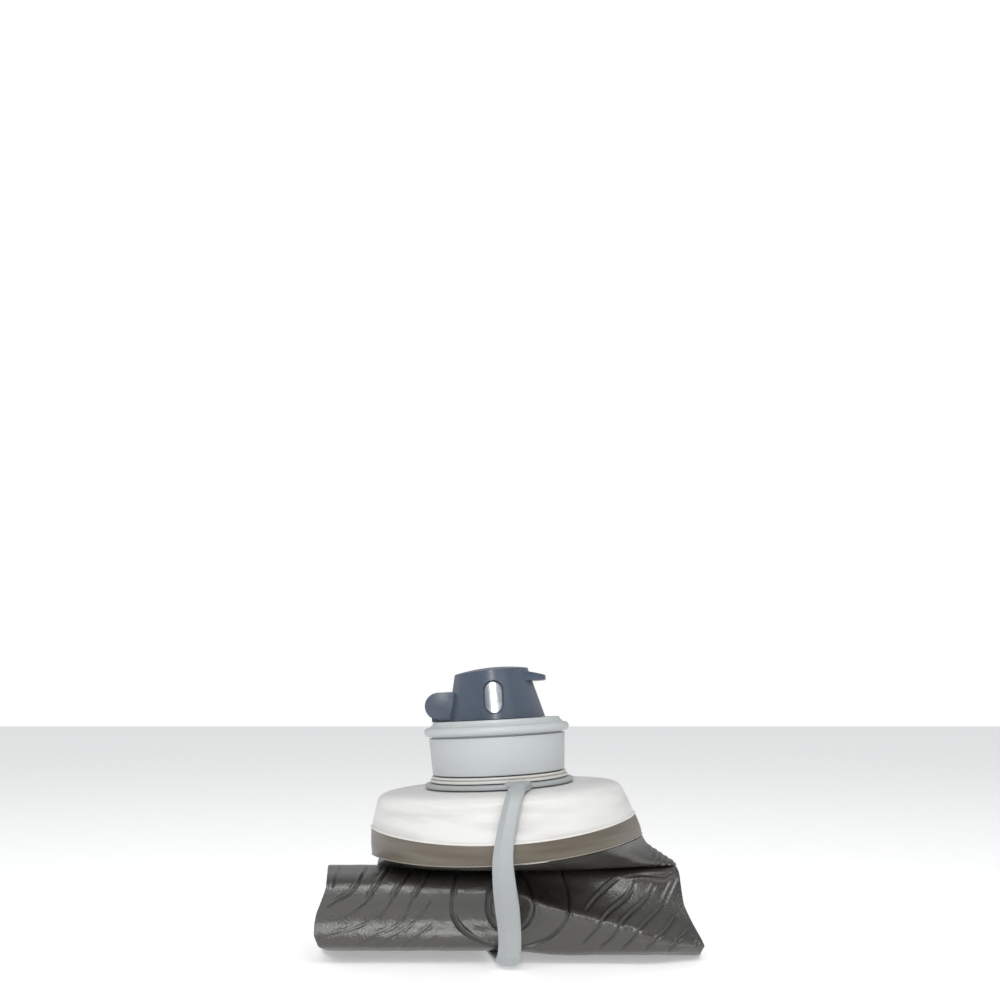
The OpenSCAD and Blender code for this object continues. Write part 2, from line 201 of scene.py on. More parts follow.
def finish_of(name, colour, rough, spec=0.5, metal=0.0, bump=0.1, grain=900.0, vary=0.05, coat=0.0,
              sub=0.0, rough_vary=0.08, streak=None, paint_groove_shade=False):
    """Principled material with a fine procedural grain, colour and gloss that vary a little, and optional
    painted shade in grooves.
    """
    mat = bpy.data.materials.new(name)
    mat.use_nodes = True
    nt = mat.node_tree
    bsdf = nt.nodes["Principled BSDF"]
    bsdf.inputs["Roughness"].default_value = rough
    bsdf.inputs["Metallic"].default_value = metal
    bsdf.inputs["Specular IOR Level"].default_value = spec
    bsdf.inputs["Coat Weight"].default_value = coat
    bsdf.inputs["Coat Roughness"].default_value = 0.25
    if sub:
        bsdf.inputs["Subsurface Weight"].default_value = sub
        bsdf.inputs["Subsurface Scale"].default_value = 0.003
        bsdf.inputs["Subsurface Radius"].default_value = (1, 1, 1)
    place = nt.nodes.new("ShaderNodeTexCoord")
    noise = nt.nodes.new("ShaderNodeTexNoise")
    noise.inputs["Scale"].default_value = 60
    noise.inputs["Detail"].default_value = 4
    nt.links.new(place.outputs["Object"], noise.inputs["Vector"])
    mix = nt.nodes.new("ShaderNodeMix")
    mix.data_type = "RGBA"
    mix.inputs["A"].default_value = tuple(c * (1 - vary) for c in colour[:3]) + (1,)
    mix.inputs["B"].default_value = tuple(min(1, c * (1 + vary)) for c in colour[:3]) + (1,)
    nt.links.new(noise.outputs["Fac"], mix.inputs["Factor"])
    last = mix.outputs["Result"]
    if streak:
        stretch = nt.nodes.new("ShaderNodeMapping")
        stretch.inputs["Scale"].default_value = streak[0]
        nt.links.new(place.outputs["Object"], stretch.inputs["Vector"])
        lines = nt.nodes.new("ShaderNodeTexNoise")
        lines.inputs["Scale"].default_value = 1
        lines.inputs["Detail"].default_value = 3
        nt.links.new(stretch.outputs["Vector"], lines.inputs["Vector"])
        ramp = nt.nodes.new("ShaderNodeMapRange")
        ramp.inputs["From Min"].default_value = 0.42
        ramp.inputs["From Max"].default_value = 0.7
        nt.links.new(lines.outputs["Fac"], ramp.inputs["Value"])
        tint = nt.nodes.new("ShaderNodeMix")
        tint.data_type = "RGBA"
        nt.links.new(ramp.outputs["Result"], tint.inputs["Factor"])
        nt.links.new(last, tint.inputs["A"])
        tint.inputs["B"].default_value = streak[1]
        last = tint.outputs["Result"]
    # Painted shade: the colour is darkened to near black where the groove attribute marks the film's
    # pressed grooves.
    if paint_groove_shade:
        depth = nt.nodes.new("ShaderNodeAttribute")
        depth.attribute_name = "groove"
        shade = nt.nodes.new("ShaderNodeMix")
        shade.data_type = "RGBA"
        nt.links.new(depth.outputs["Fac"], shade.inputs["Factor"])
        nt.links.new(last, shade.inputs["A"])
        shade.inputs["B"].default_value = srgb(26, 26, 25)
        last = shade.outputs["Result"]
    nt.links.new(last, bsdf.inputs["Base Color"])
    if rough_vary:
        r = nt.nodes.new("ShaderNodeMapRange")
        r.inputs["To Min"].default_value = max(0.02, rough - rough_vary)
        r.inputs["To Max"].default_value = min(1, rough + rough_vary)
        nt.links.new(noise.outputs["Fac"], r.inputs["Value"])
        nt.links.new(r.outputs["Result"], bsdf.inputs["Roughness"])
    if bump:
        fine = nt.nodes.new("ShaderNodeTexNoise")
        fine.inputs["Scale"].default_value = grain
        fine.inputs["Detail"].default_value = 3
        nt.links.new(place.outputs["Object"], fine.inputs["Vector"])
        relief = nt.nodes.new("ShaderNodeBump")
        relief.inputs["Strength"].default_value = bump
        relief.inputs["Distance"].default_value = 0.0003
        nt.links.new(fine.outputs["Fac"], relief.inputs["Height"])
        nt.links.new(relief.outputs["Normal"], bsdf.inputs["Normal"])
    return mat


MATS = {
    "cap_grey": finish_of("cap_grey", srgb(184, 188, 189), 0.38, bump=0.05, vary=0.02),
    "lid_slate": finish_of("lid_slate", srgb(71, 81, 95), 0.27, bump=0.05, vary=0.03),
    "silicone": finish_of("silicone", srgb(225, 226, 226), 0.55, bump=0.05),
    "pin_steel": finish_of("pin_steel", srgb(190, 192, 195), 0.25, metal=1, bump=0),
    "badge_bright": finish_of(
        "badge_bright", srgb(196, 199, 204), 0.2, metal=1, bump=0, vary=0.01, rough_vary=0.02),
    "neck_clear": finish_of("neck_clear", srgb(206, 205, 200), 0.25, bump=0, vary=0.02),
    "shoulder_frost": finish_of(
        "shoulder_frost", srgb(222, 221, 219), 0.42, bump=0.08, vary=0.02, sub=0.15,
        streak=((40, 40, 260), srgb(206, 205, 203))),
    "band_taupe": finish_of(
        "band_taupe", srgb(92, 85, 73), 0.33, bump=0.12, vary=0.08,
        streak=((30, 30, 420), srgb(108, 101, 89))),
    "weld_bead": finish_of("weld_bead", srgb(222, 219, 215), 0.3, bump=0.05),
    "rim_taupe": finish_of("rim_taupe", srgb(150, 144, 133), 0.3, bump=0.05),
    # The film's colour carries painted shade along its grooves.
    "film_grey": finish_of(
        "film_grey", srgb(54, 52, 48), 0.3, spec=0.8, bump=0.65, grain=1300, vary=0.08, coat=0.35,
        paint_groove_shade=True),
    "base_grey": finish_of("base_grey", srgb(90, 90, 88), 0.6),
    "bail_grey": finish_of("bail_grey", srgb(164, 168, 169), 0.45, bump=0.08, grain=1500, vary=0.02),
}


def dress(obj, material):
    obj.data.materials.clear()
    obj.data.materials.append(MATS[material])


def put(piece, name, body, material, stands_for=(), angle=40):
    obj = piece.make(name, angle)
    dress(obj, material)
    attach(obj, body)
    if stands_for:
        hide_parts(*stands_for)


# ---------------------------------------------------------------- CAD nodes that stay
kept_nodes = {
    "cap_gasket": "silicone",
    "spout_base": "lid_slate",
    "spout_seal": "silicone",
    "lid_plug": "silicone",
    "hinge_pin": "pin_steel",
    "lid_badge": "badge_bright",
    "base_panel": "base_grey",
}
for node, material in kept_nodes.items():
    dress(nodes[node], material)

# ---------------------------------------------------------------- cap
BEAD_R, BEAD_RAD, BEAD_LOW = 25.8, 1.6, 17.1
inner = [(8.0, 20.2), (21.3, 20.2), (21.3, 3.6), (23.5, 3.6), (24.2, 16.5), (23.1, 16.6), (23.1, 17.05)]
bead = arc(BEAD_R - BEAD_RAD, BEAD_LOW + BEAD_RAD, BEAD_RAD, -82, 84, 16)
over = [
    (24.0, 20.35), (23.55, 20.5), (23.25, 21.0), (22.85, 21.2), (22.55, 22.1), (21.9, 22.2), (21.6, 21.85),
    (21.0, 21.85), (20.7, 22.2), (11.5, 22.2), (11.4, 21.2), (9.6, 21.2), (9.5, 22.2), (8.0, 22.2),
]
inner_radii = [0, 0.4, 0.3, 0.5, 0.25, 0.1, 0.1]
over_radii = [0.2, 0.2, 0.25, 0.15, 0.25, 0.3] + [0.15] * 8
cap_profile = fillet(inner + bead + over, inner_radii + [0] * len(bead) + over_radii, 4)
cap = Piece().grid(turned(cap_profile, 160)[:, ::-1], wrap_m=True)
cap.grid(helix_ridge(21.5, 20.0, 1.25, 8.0, 1.8, 0.9)[:, ::-1])
put(cap, "cap_shell_look", "cap", "cap_grey", ["cap_shell"], angle=50)

# ---------------------------------------------------------------- flip lid
FOOT_R, TOP_R, HOOD_H, DOME_H, WALL = 17.4, 13.1, 17.1, 18.5, 1.8
HOOD_SKIRT = 0.9
EAR_R, EAR_HALF, SLOT_HALF = 4.8, 5.5, 2.2
LAP = WALL * 0.6


def hood_lean(p):
    """Points tilted about Y by a further HOOD_LEAN, the same way as the neck."""
    c, s = math.cos(-HOOD_LEAN), math.sin(-HOOD_LEAN)
    x, y, z = p[..., 0], p[..., 1], p[..., 2]
    return np.stack([x * c + z * s, y, -x * s + z * c], -1)


def hood_profile(inset):
    """Outline (r, h) of the hood, from its skirt up the cone and over the dome."""
    slope = (FOOT_R - TOP_R) / HOOD_H
    rise = DOME_H - HOOD_H
    dome_r = (TOP_R ** 2 + rise ** 2) / (2 * rise)
    spread = math.degrees(math.asin((TOP_R - inset) / (dome_r - inset)))
    side = [(FOOT_R - inset + slope * HOOD_SKIRT, -HOOD_SKIRT), (TOP_R - inset + 0.02, HOOD_H - 0.1)]
    return side + arc(0, DOME_H - dome_r, dome_r - inset, 90 - spread, 90 - 0.5, 18)


def solid(name, rows):
    """Closed solid through rows of points in the cap's frame."""
    return Piece().grid(on_cap(rows), cap_low=True, cap_high=True).make(name, 30)


def prism(name, outline, y0, y1):
    """Prism along Y of an (x, h) outline, in the cap's frame."""
    o = np.array(outline, float)
    return solid(name, [np.stack([o[:, 0], np.full(len(o), y), o[:, 1]], -1) for y in (y0, y1)])


def plate(name, outline, h0, h1):
    """Prism along the cap's axis of an (x, y) outline, in the cap's frame."""
    o = np.array(outline, float)
    return solid(name, [np.stack([o[:, 0], o[:, 1], np.full(len(o), h)], -1) for h in (h0, h1)])


def apply_all(obj):
    """The object's modifiers, made part of its mesh."""
    bpy.context.view_layer.update()
    deps = bpy.context.evaluated_depsgraph_get()
    mesh = bpy.data.meshes.new_from_object(obj.evaluated_get(deps))
    obj.modifiers.clear()
    obj.data = mesh


def outward(obj):
    """The object with doubled points merged and its faces turned outward."""
    bm = bmesh.new()
    bm.from_mesh(obj.data)
    bmesh.ops.remove_doubles(bm, verts=bm.verts, dist=1e-6)
    bmesh.ops.recalc_face_normals(bm, faces=bm.faces)
    bm.to_mesh(obj.data)
    bm.free()
    return obj


def boolean(obj, tool, kind):
    """The object changed by the tool, which is then removed."""
    outward(obj)
    outward(tool)
    m = obj.modifiers.new("b", "BOOLEAN")
    m.operation, m.object, m.solver = kind, tool, "EXACT"
    apply_all(obj)
    bpy.data.objects.remove(tool)
    return obj


def bevel(obj, width, angle):
    m = obj.modifiers.new("v", "BEVEL")
    m.width, m.segments, m.limit_method = width * MM, 3, "ANGLE"
    m.angle_limit = math.radians(angle)
    m.use_clamp_overlap = True
    m.harden_normals = False
    apply_all(obj)
    return obj


def pill_outline(w, length, cx, ch, n=20):
    """Outline of an upright pill shape of width w about (cx, ch)."""
    pts = []
    for k, a0 in ((1, 0), (-1, 180)):
        for a in np.radians(np.linspace(a0, a0 + 180, n)):
            pts.append((cx + w / 2 * math.cos(a), ch + k * (length - w) / 2 + w / 2 * math.sin(a)))
    return pts


def hood_core(name, inset, shoulder=0.0):
    """Closed solid of the hood's shape, smaller by inset, its top edge rounded by shoulder."""
    profile = hood_profile(inset)
    profile = fillet(profile, [0, shoulder] + [0] * (len(profile) - 2), 6)
    return solid(name, hood_lean(turned(profile, 192, lambda q: q))[:, ::-1])


# The ear and the lip each end LAP deep in the hood's wall.
ear = arc(PIN[0], PIN[1], EAR_R, 90, 262, 28) + [(-19.9, 0.25), (-13.2, 0.25), (-13.2, 10.4)]
ear_piece = bevel(outward(prism("ear_tool", ear, -EAR_HALF, EAR_HALF)), 0.45, 40)
slot_cut = prism("slot_tool", [(-28, -1), (-16.5, -1), (-16.5, 12), (-28, 12)], -SLOT_HALF, SLOT_HALF)
ear_piece = boolean(ear_piece, slot_cut, "DIFFERENCE")
ear_piece = boolean(ear_piece, hood_core("core_tool", LAP), "DIFFERENCE")
lip = [
    (6, -9.2), (12.5, -7.6), (16.0, -5.9), (17.7, -4.4), (18.4, -2.6),
    (18.4, 2.6), (17.7, 4.4), (16.0, 5.9), (12.5, 7.6), (6, 9.2),
]
lip_piece = plate("lip_tool", lip, 12.9, 16.8)
wedge_side = [(5, 13.0), (18.6, 13.0), (18.6, 14.7), (14.5, 15.7), (9.5, 16.7), (5, 16.7)]
wedge = prism("wedge_tool", wedge_side, -12, 12)
lip_piece = bevel(boolean(lip_piece, wedge, "INTERSECT"), 0.35, 20)
lip_piece = boolean(lip_piece, hood_core("core_tool", LAP), "DIFFERENCE")
block = plate("block_tool", [(-40, -40), (40, -40), (40, 40), (-40, 40)], -6, 0.2)
hood = boolean(hood_core("hood_tool", 0, 0.9), block, "DIFFERENCE")
hood = boolean(hood, hood_core("hollow_tool", WALL), "DIFFERENCE")
recess = prism("recess_tool", pill_outline(7.0, 11.8, -0.4, 7.6), -20, -12)
recess = boolean(recess, hood_core("deep_tool", 0.75), "DIFFERENCE")
hood = boolean(hood, recess, "DIFFERENCE")
foot_cut = prism("foot_tool", [(-28, -1), (-12, -1), (-12, 1.4), (-28, 1.4)], -SLOT_HALF, SLOT_HALF)
hood = boolean(hood, foot_cut, "DIFFERENCE")
socket_profile = fillet([(5.06, 16.0), (6.8, 16.0), (6.8, 11.0), (5.06, 11.0)], 0.2, 2)
socket = Piece().grid(turned(socket_profile, 64, on_cap)[:, ::-1], wrap_m=True).make("socket_tool", 30)
bpy.ops.object.select_all(action="DESELECT")
for o in (hood, ear_piece, lip_piece, socket):
    o.select_set(True)
bpy.context.view_layer.objects.active = hood
bpy.ops.object.join()
hood.name = "flip_lid_look"
hood.data.name = "flip_lid_look"
hood.data.polygons.foreach_set("use_smooth", np.ones(len(hood.data.polygons), bool))
hood.data.set_sharp_from_angle(angle=math.radians(32))
dress(hood, "lid_slate")
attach(hood, "lid")
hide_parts("flip_lid")

# ---------------------------------------------------------------- neck
neck_corners = [
    (17.5, -6), (19.5, -6), (19.5, -3.6), (30, -3.6), (30, -2.45), (19.5, -2.45),
    (19.5, 1.15), (24.5, 1.15), (24.5, 2.1), (23.4, 2.15), (23.4, 2.35), (24.0, 2.45),
    (24.0, 3.2), (19.5, 3.2), (19.5, 18.7), (17.5, 18.7),
]
neck_profile = fillet(neck_corners, 0.3, 4)
neck = Piece().grid(turned(neck_profile, 144)[:, ::-1], wrap_m=True)
neck.grid(helix_ridge(19.3, 20.9, 1.5, 6.0, 2.0, 1.0)[:, ::-1])
put(neck, "neck_look", "bottle", "neck_clear", ["neck_finish"])


# ---------------------------------------------------------------- shoulder and band
def ring_of(z, x0, a, b, q, slope, rise, n=RING_POINTS):
    """Oval ring with half-widths a and b at height z: an ellipse for q = 0.5, more pointed above."""
    t = np.linspace(0, 2 * math.pi, n, endpoint=False)
    u = a * np.cos(t)
    y = np.sign(np.sin(t)) * b * np.abs(np.sin(t)) ** (2 * q)
    return np.stack([x0 + u, y, z + slope * u + rise * (u / a) ** 2], -1)


def dense(rings, count, inset=0.0, n=RING_POINTS, lift=0.0):
    """Rings with their numbers interpolated smoothly, as a grid."""
    r = np.array(rings, float)
    vals = catmull(r, np.linspace(0, len(r) - 1, count))
    vals[:, 2:4] -= inset
    vals[:, 0] += lift
    return np.array([ring_of(*v, n=n) for v in vals])


SHOULDER = [
    (-16, 0.6, 46.9, 42, 0.7, 0, 2.4), (-13.5, 0.5, 46.35, 41.5, 0.66, 0, 1.7),
    (-11, 0.4, 45.7, 41, 0.62, 0, 1), (-7, 0.2, 44.5, 40.2, 0.56, 0, 0.3),
    (-4.6, 0, 43.7, 39.5, 0.53, 0, 0), (-2.9, 0, 42.6, 38.4, 0.515, 0, 0),
    (-1.9, 0, 40.7, 36.6, 0.505, 0, 0), (-1.5, 0, 37.5, 34, 0.5, 0, 0),
    (-1.35, 0, 33, 31.5, 0.5, 0, 0), (-1.2, 0, 29, 28.5, 0.5, 0, 0),
]
NECK_HOLE_R = 19.55


def shoulder_dent(p):
    """A shallow dent and a soft raised crease, both in front, as the sheet pulls on its weld."""
    x, y, s = p[..., 0], p[..., 1], p[..., 2]
    front = smoothstep(0, -30, y)
    lower = smoothstep(-2, -7, s) * smoothstep(-16, -12, s)
    wave = 0.25 * np.sin(x * 0.19 + 0.6) * lower
    out = p.copy()
    out[..., 1] = y + front * (0.5 * lower * np.cos(x * 0.07) + wave)
    crease = np.exp(-((s + 3.9 - 0.012 * x) / 0.55) ** 2) * front * smoothstep(26, 12, np.abs(x + 2))
    out[..., 1] -= 0.35 * crease
    return out


skin = shoulder_dent(dense(SHOULDER, 64))
edge_turn = np.linspace(0, 2 * math.pi, RING_POINTS, endpoint=False)
neck_edge = np.array([[[NECK_HOLE_R * math.cos(t), NECK_HOLE_R * math.sin(t), s] for t in edge_turn]
                      for s in (-1.2, -2.2)])
under = dense(SHOULDER, 40, inset=1.0, lift=-0.9)[::-1]
under[-1, :, 2] += 0.1
shell = np.concatenate([skin, neck_edge, under])
shoulder = Piece().grid(on_neck(shell), wrap_m=True)
put(shoulder, "shoulder_look", "bottle", "shoulder_frost", ["shoulder"], angle=60)

BAND = [
    (-22.5, 1.6, 48.4, 42.6, 0.78, 0.023, 0), (-20.6, 1.35, 48.3, 42.65, 0.76, 0.017, 0.6),
    (-19, 1.1, 48, 42.5, 0.74, 0.01, 1.2), (-16.05, 0.6, 47.2, 42.2, 0.7, 0, 2.4),
]
band_out = dense(BAND, 20)
band_in = dense(BAND, 14, inset=1.2)[::-1]
band = Piece().grid(on_neck(np.concatenate([band_out, band_in])), wrap_m=True)
put(band, "weld_band_look", "bottle", "band_taupe", ["weld_band"], angle=50)


def bead_tube(path, rad, tall, n=8):
    """Closed tube round a ring path, rad wide and tall times that high."""
    along = np.roll(path, -1, 0) - np.roll(path, 1, 0)
    along /= np.linalg.norm(along, axis=1)[:, None]
    up = np.array([0, 0, 1.0])
    side = np.cross(along, up)
    side /= np.linalg.norm(side, axis=1)[:, None]
    a = np.linspace(0, 2 * math.pi, n, endpoint=False)
    across, high = np.cos(a)[None, :, None], np.sin(a)[None, :, None]
    return path[:, None] + rad * (across * side[:, None] + tall * high * up)


seam = bead_tube(on_neck(ring_of(-15.95, 0.6, 46.95, 42.0, 0.7, 0, 2.4, 300)), 0.5, 0.85)
put(Piece().grid(seam, wrap_m=True), "weld_bead_upper", "bottle", "weld_bead", angle=180)
rim = bead_tube(on_neck(ring_of(-22.35, 1.6, 48.35, 42.6, 0.78, 0.023, 0, 300)), 0.3, 0.6)
put(Piece().grid(rim, wrap_m=True), "weld_bead_lower", "bottle", "rim_taupe", angle=180)

# ---------------------------------------------------------------- film between band and roll
WEB = [
    (30.4, 8, 55.2, 7, 0.5, 0, 0), (31.2, 7.4, 54.6, 15, 0.6, 0.01, 0), (33.5, 5, 52, 25, 0.7, 0.03, 0),
    (35.6, 3.2, 49.6, 35, 0.76, 0.05, 0), (37.6, 2.4, 48.4, 41.8, 0.78, 0.075, 0),
]
WEB_LOW, WEB_TALL = 30.4, 7.2
WEB_WALL = 0.7
RIB_PITCH = 2.3


def web(inset, front):
    """Front or back half of the loose film, inset mm in, with its folds and the flap's ribs."""
    p = dense(WEB, 44, inset, 480)
    half = p.shape[1] // 2
    p = np.concatenate([p[:, half - 1:], p[:, :1]], 1) if front else p[:, :half + 1]
    x, y, z = p[..., 0].copy(), p[..., 1].copy(), p[..., 2].copy()
    fold = 0.5 * np.sin(x * 0.33 + z * 0.5) * np.sin((z - WEB_LOW) / WEB_TALL * math.pi)
    along = (x - 52.5) * 0.78 - (z - 38) * 0.62
    depth = (64.5 - x) * 0.62 - (z - 29.5) * 0.2
    ribs = 0.8 * (0.5 + 0.5 * np.cos(2 * math.pi * (along - 1.2) / RIB_PITCH))
    ribs = ribs * smoothstep(0, 1, along) * smoothstep(12.6, 11.6, along)
    ribs_at_crease = ribs * smoothstep(0, 2.5, np.abs(y))
    sign = -1 if front else 1
    p[..., 0] = np.where(x < 0, x * (1 - 0.07 * smoothstep(37.8, 36.4, z)), x)
    p[..., 0] += ribs * 0.6 * smoothstep(6.5, 4.5, depth)
    folds = fold * smoothstep(48, 30, np.abs(x - 4))
    p[..., 1] += sign * (folds + ribs_at_crease * smoothstep(6.5, 4.5, depth))
    return p


for front in (True, False):
    w = np.concatenate([web(0, front), web(WEB_WALL, front)[::-1]])
    cad_name = "film_front" if front else "film_back"
    obj = Piece().grid(w, wrap_m=True, wrap_n=False).make(cad_name + "_look", 70)
    dress(obj, "film_grey")
    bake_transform(obj)
    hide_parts(cad_name)

# ---------------------------------------------------------------- rolled film
# The outline of the ends (height, x) and the course of the grooves (x, height) are points in mm, given
# as they look on the plane y = 0 from VIEW_D in front of it at height VIEW_Z.
VIEW_D, VIEW_Z = 300.0, 86.0
LEFT = [
    (-0.8, -60.5), (0.8, -65.0), (5, -66.7), (9, -66.6), (13, -65.8), (18, -63.8), (22, -62.4),
    (26.8, -61.9), (31, -61.5),
]
RIGHT = [(-1.2, 71.8), (1.3, 73.3), (4, 72.1), (9, 69.2), (16, 65.8), (22, 64.9), (27.8, 64.2), (31, 62.5)]


def edge_x(table, y, z):
    """X of the roll's end at (y, z), so that its outline from the front follows the table."""
    near = 1 + np.minimum(y, 0) / VIEW_D
    t = np.array(table)
    return np.interp(VIEW_Z + (z - VIEW_Z) / near, t[:, 0], t[:, 1]) * near


SECTION = np.array([
    (1, 30.1), (-8, 29.9), (-14.0, 29.4), (-17.8, 27.4), (-19.4, 23.5), (-18.3, 18.5), (-18.6, 14.5),
    (-20.8, 10.5), (-20.0, 6.4), (-13.5, 3.5), (-3, 1.6), (10, 1.2), (17.6, 5.5), (20, 14), (17.6, 22.5),
    (10, 28.6),
])
RIDGE_X = [-70, 0, 8, 16, 26, 34, 45, 58, 73]
RIDGE_Z = [27.4, 27.0, 25, 22, 19.2, 17.2, 14.6, 11.5, 8]


def section_at(x):
    """Cross-section (y, z) of the roll at x: on the right its ridge sinks towards the ground."""
    ridge = np.interp(x, RIDGE_X, RIDGE_Z)
    k = float(smoothstep(-2, 22, x))
    alt = SECTION.copy()
    top = np.array([-8.0, 29.4])
    low = np.array([-22.4, ridge])
    alt[1] = top
    alt[2] = top + (low - top) * 0.34 + [0.8, -0.8]
    alt[3] = top + (low - top) * 0.7 + [1.0, -0.6]
    alt[4] = low + [0.2, 0.5]
    alt[5] = [-22.9, ridge - 2.8]
    alt[6] = [-21.6, max(ridge * 0.62, 6)]
    alt[7] = [-20.6, max(ridge * 0.42, 4.6)]
    alt[8] = [-18.6, 4.0]
    alt[9] = [-13.5, 2.2]
    tip = float(smoothstep(50, 73, x))
    alt[:, 0] = alt[:, 0] * (1 - 0.3 * tip)
    alt[8:11, 1] -= tip * 1.4
    return SECTION * (1 - k) + alt * k


NU, NV_FRONT, NV_BACK = 400, 176, 34
NV = NV_FRONT + NV_BACK
ROLL_TOP = 30.6
CORE_Y, CORE_Z = -1.5, 15.0
SPIRAL_TURNS = 5
STRAP_TOP = 2.85
END_FADE = 0.012
in_front = np.linspace(0, 10, NV_FRONT, endpoint=False)
behind_it = np.linspace(10, len(SECTION), NV_BACK, endpoint=False)
around = np.concatenate([in_front, behind_it])
share = np.linspace(0, 1, NU)
roll = np.zeros((NU, NV, 3))
for i, f in enumerate(share):
    sec = section_at(-64 + f * 135)
    yz = catmull(np.concatenate([sec, sec, sec]), around + len(SECTION))
    yz[:, 1] = np.clip(yz[:, 1], 0.05, ROLL_TOP)
    y, z = yz[:, 0], yz[:, 1]
    roll[i, :, 0] = edge_x(LEFT, y, z) * (1 - f) + edge_x(RIGHT, y, z) * f
    roll[i, :, 1:] = yz


def blur(a, n):
    """Grid smoothed n times along and around the roll, its two end rows only around it."""
    for _ in range(n):
        a[1:-1] = (a[:-2] + 2 * a[1:-1] + a[2:]) / 4
        a[:] = (np.roll(a, 1, 1) + 2 * a + np.roll(a, -1, 1)) / 4
    return a


roll = blur(roll, 14)
du = np.gradient(roll, axis=0)
dv = (np.roll(roll, -1, 1) - np.roll(roll, 1, 1)) / 2
normal = np.cross(du, dv)
normal /= np.linalg.norm(normal, axis=-1)[..., None] + 1e-9
if normal[NU // 2, 60, 1] > 0:
    normal = -normal
near = 1 + np.minimum(roll[..., 1], 0) / VIEW_D
X, Y, Z = roll[..., 0] / near, roll[..., 1], VIEW_Z + (roll[..., 2] - VIEW_Z) / near
facing = smoothstep(0.45, 0.1, normal[..., 1]) * smoothstep(1, -5, Y)
LINE_STEPS, LINE_FADE = 6, 3
GROOVE_W = 0.42


def distance_to(points):
    """Distance from each film point to a smooth line, and a fade at the line's ends.

    The distance is positive on the right of a line that runs down.
    """
    knots = np.array(points, float)
    p = catmull(knots, np.linspace(0, len(knots) - 1, LINE_STEPS * (len(knots) - 1) + 1))
    best = np.full(X.shape, 1e9)
    sign = np.ones(X.shape)
    spot = np.zeros(X.shape)
    for k, (a, b) in enumerate(zip(p[:-1], p[1:])):
        d = b - a
        t = np.clip(((X - a[0]) * d[0] + (Z - a[1]) * d[1]) / (d @ d), 0, 1)
        qx, qz = X - a[0] - t * d[0], Z - a[1] - t * d[1]
        dist = np.hypot(qx, qz)
        near_it = dist < best
        best = np.where(near_it, dist, best)
        sign = np.where(near_it, np.where(d[0] * qz - d[1] * qx > 0, 1.0, -1.0), sign)
        spot = np.where(near_it, k + t, spot)
    last = len(p) - 1
    return best * sign, smoothstep(0, LINE_FADE, spot) * smoothstep(last, last - LINE_FADE, spot)


relief = np.zeros(X.shape)
groove = np.zeros(X.shape)


def press(d, amount, deep, lip):
    """Groove along d = 0 with a raised lip along d = 1; the groove's line is also marked for painted shade.
    """
    global relief, groove
    line = np.exp(-(d / GROOVE_W) ** 2)
    relief += amount * (-deep * line + lip * np.exp(-((d - 1.0) / GROOVE_W) ** 2))
    groove = np.maximum(groove, amount * line)


CIRCLE = (3.6, 15.4)


def circle_distance(rx, up, down):
    """Distance outward from an oval of half-width rx that reaches up and down from CIRCLE."""
    dx, dz = X - CIRCLE[0], Z - CIRCLE[1]
    rz = np.where(dz > 0, up, down)
    f = np.hypot(dx / rx, dz / rz)
    slope = np.hypot(dx / rx ** 2, dz / rz ** 2) / np.maximum(f, 1e-6)
    return (f - 1) / np.maximum(slope, 1e-6)


big = circle_distance(21.1, 26.0, 14.7)
small = circle_distance(8.3, 13.3, 9.0)
side_of = np.where(X > CIRCLE[0], 1, -1)
press(big * side_of, smoothstep(-1.5, 2, Z), 0.5, 0.3)
press(small * side_of, 1.0, 0.5, 0.3)
left_lines = [
    [(-56.6, 32), (-57.6, 28.5), (-58.3, 26.5), (-60.5, 21.5)],
    [(-46.3, 32), (-48.6, 27.3), (-52.4, 21.5), (-57.5, 17.5), (-63, 13.9)],
    [(-38.4, 32), (-40.7, 27.3), (-45.2, 21.3), (-48.1, 16.2), (-54.5, 12.2), (-62, 9.0)],
    [(-30, 32), (-32.3, 27.3), (-37.2, 20.7), (-40, 14.8), (-46, 10.6), (-53.4, 7.1), (-64.9, 3.8)],
    [(-22.8, 32), (-25.1, 27.3), (-29.9, 20.1), (-33.7, 12.5), (-37.5, 8.4), (-42.8, 5.7), (-54.4, 0)],
    [(-23.9, 18.2), (-27.5, 12.9), (-35.2, 6.2), (-46.2, 0.4)],
    [(-23.2, 9.6), (-28.5, 5.3), (-38, -0.5)],
    [(-21.7, 5.3), (-30.4, -0.5)],
    [(-18.9, 2.1), (-22.7, -0.8)],
]
strong = 0.45 + 0.55 * smoothstep(13, 20, Z)
for line in left_lines:
    away, ends = distance_to(line)
    press(-away, strong * ends * smoothstep(0.4, 1.2, big), 0.42, 0.28)
right_lines = [
    [(43, 26), (39.6, 23.4), (35.6, 19.6), (32.4, 16), (31, 13.6)],
    [(48.8, 24.6), (45.4, 18.6), (38.7, 12.9), (33.9, 6.2), (28.6, 1.0)],
    [(56, 23.9), (52.1, 17.7), (44.9, 11), (40.1, 4.2), (34.8, -0.1)],
    [(63.4, 26.4), (60.6, 20.6), (57.4, 14.8), (51.6, 9), (47.3, 3.3), (42.5, -0.5)],
    [(63.8, 13.4), (60.8, 8.6), (56, 3.3), (51.2, -0.5)],
    [(67.9, 7.6), (62.7, 1.8), (59.8, -0.7)],
    [(72.0, 3.9), (69.6, 0.4)],
]
for line in right_lines:
    away, ends = distance_to(line)
    press(-away, ends, 0.5, 0.38)
relief *= facing
groove *= facing
slow_wave = 0.07 * np.sin(X * 0.42 + Z * 0.23) * np.sin(X * 0.11 - Z * 0.31 + 1.0)
waves = slow_wave + 0.02 * np.sin(X * 0.9 + Y * 0.4 + Z * 0.7)
relief += waves * smoothstep(0.0, 0.35, 1 - np.abs(2 * share - 1))[:, None]
